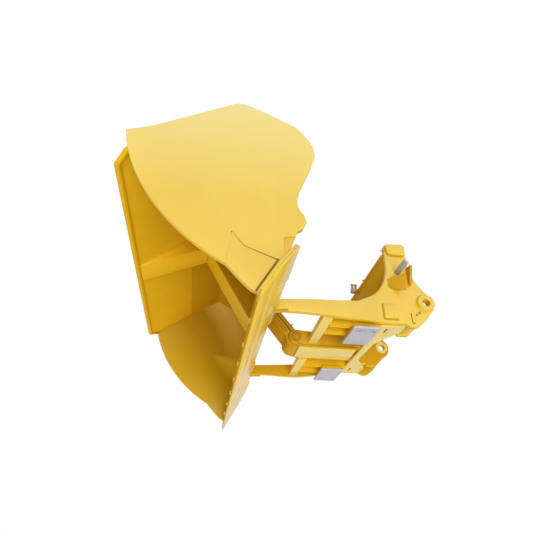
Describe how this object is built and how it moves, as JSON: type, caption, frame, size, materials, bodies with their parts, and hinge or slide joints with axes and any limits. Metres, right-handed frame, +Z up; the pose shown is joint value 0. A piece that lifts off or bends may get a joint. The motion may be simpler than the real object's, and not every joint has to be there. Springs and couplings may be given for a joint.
{
  "type": "high dump bucket",
  "caption": "Wide high dump bucket for a wheel loader, hinged low on a carrier frame with coupler ears and tipped by a guarded twin cylinder, shown dumped.",
  "frame": {"origin": "axis of the coupler pins, midway between the two sides", "axes": "+X to the machine's left, +Y back towards the loader, +Z up; the bucket is dumped at rest"},
  "size_m": [3.26, 2.3905, 1.5014],
  "materials": {
    "gold_paint": "satin",
    "gusset_paint": "satin",
    "machined_steel": "machined",
    "pin_steel": "ground",
    "chromed_rod": "polished",
    "fitting_metal": "plated"
  },
  "bodies": {
    "carrier": {"arm_tip_bushes": "pin_steel", "back_plate": "gold_paint", "bay_ribs": "gold_paint", "bottom_plate": "gold_paint", "bracket_gussets": "gusset_paint", "bracket_pads": "machined_steel", "bracket_rear_plates": "gold_paint", "carrier_plate_left": "gold_paint", "carrier_plate_right": "gold_paint", "centre_arm_left": "gold_paint", "centre_arm_right": "gold_paint", "centre_cover": "gold_paint", "centre_tie": "gold_paint", "coupler_bosses": "gold_paint", "crossmember_left": "gold_paint", "crossmember_right": "gold_paint", "grease_fittings": "fitting_metal", "horn_blocks": "gold_paint", "hose_couplings": "fitting_metal", "inner_ear_left": "gold_paint", "inner_ear_right": "gold_paint", "lug_pads": "gold_paint", "pivot_pin": "pin_steel", "skid_blocks": "gold_paint", "skid_bolts": "pin_steel", "skid_pads": "machined_steel", "tip_doublers": "gold_paint", "upper_crossmember": "gold_paint"},
    "bucket": {"side_plate_left": "gold_paint", "side_plate_right": "gold_paint", "shell": "gold_paint", "top_plate": "gold_paint", "spill_guard": "gold_paint", "lip_bar": "gold_paint", "base_plate": "gold_paint", "cutting_edge": "gold_paint", "heel_wear_plate": "gold_paint", "edge_bolts": "gold_paint", "side_cutter_left": "gold_paint", "side_cutter_right": "gold_paint", "heel_gussets": "gusset_paint", "top_stiffener": "gold_paint", "tunnel_front_plate": "gold_paint", "tunnel_side_left": "gold_paint", "tunnel_side_right": "gold_paint", "rod_pin_seats": "pin_steel", "hinge_hub_left": "gold_paint", "hinge_hub_right": "gold_paint", "hinge_lug_left": "gold_paint", "hinge_lug_right": "gold_paint", "hinge_pins": "pin_steel"},
    "cylinder": {"cylinder_hub": "gold_paint", "barrels": "gold_paint", "glands": "pin_steel", "guard_lower": "gold_paint", "guard_upper": "gold_paint"},
    "rod": {"rods": "chromed_rod", "pistons": "pin_steel", "crosshead": "gold_paint", "rod_pin": "pin_steel"}
  },
  "joints": [
    {"name": "bucket_tilt", "type": "hinge", "parent": "carrier", "child": "bucket", "pos_m": [0, -1.24, -0.168], "axis": [1, 0, 0], "range_deg": [-60, 0]},
    {"name": "cylinder_swing", "type": "hinge", "parent": "carrier", "child": "cylinder", "pos_m": [0, -0.936, -0.148], "axis": [1, 0, 0], "range_deg": [-58, 0]},
    {"name": "rod_slide", "type": "slide", "parent": "cylinder", "child": "rod", "axis": [0, -0.6146, 0.7888], "range_m": [-0.3055, 0]}
  ],
  "couplings": [
    {"joint": "cylinder_swing", "follows": "bucket_tilt", "ratio": 0.95993},
    {"joint": "rod_slide", "follows": "bucket_tilt", "m_per_rad": 0.28972}
  ]
}
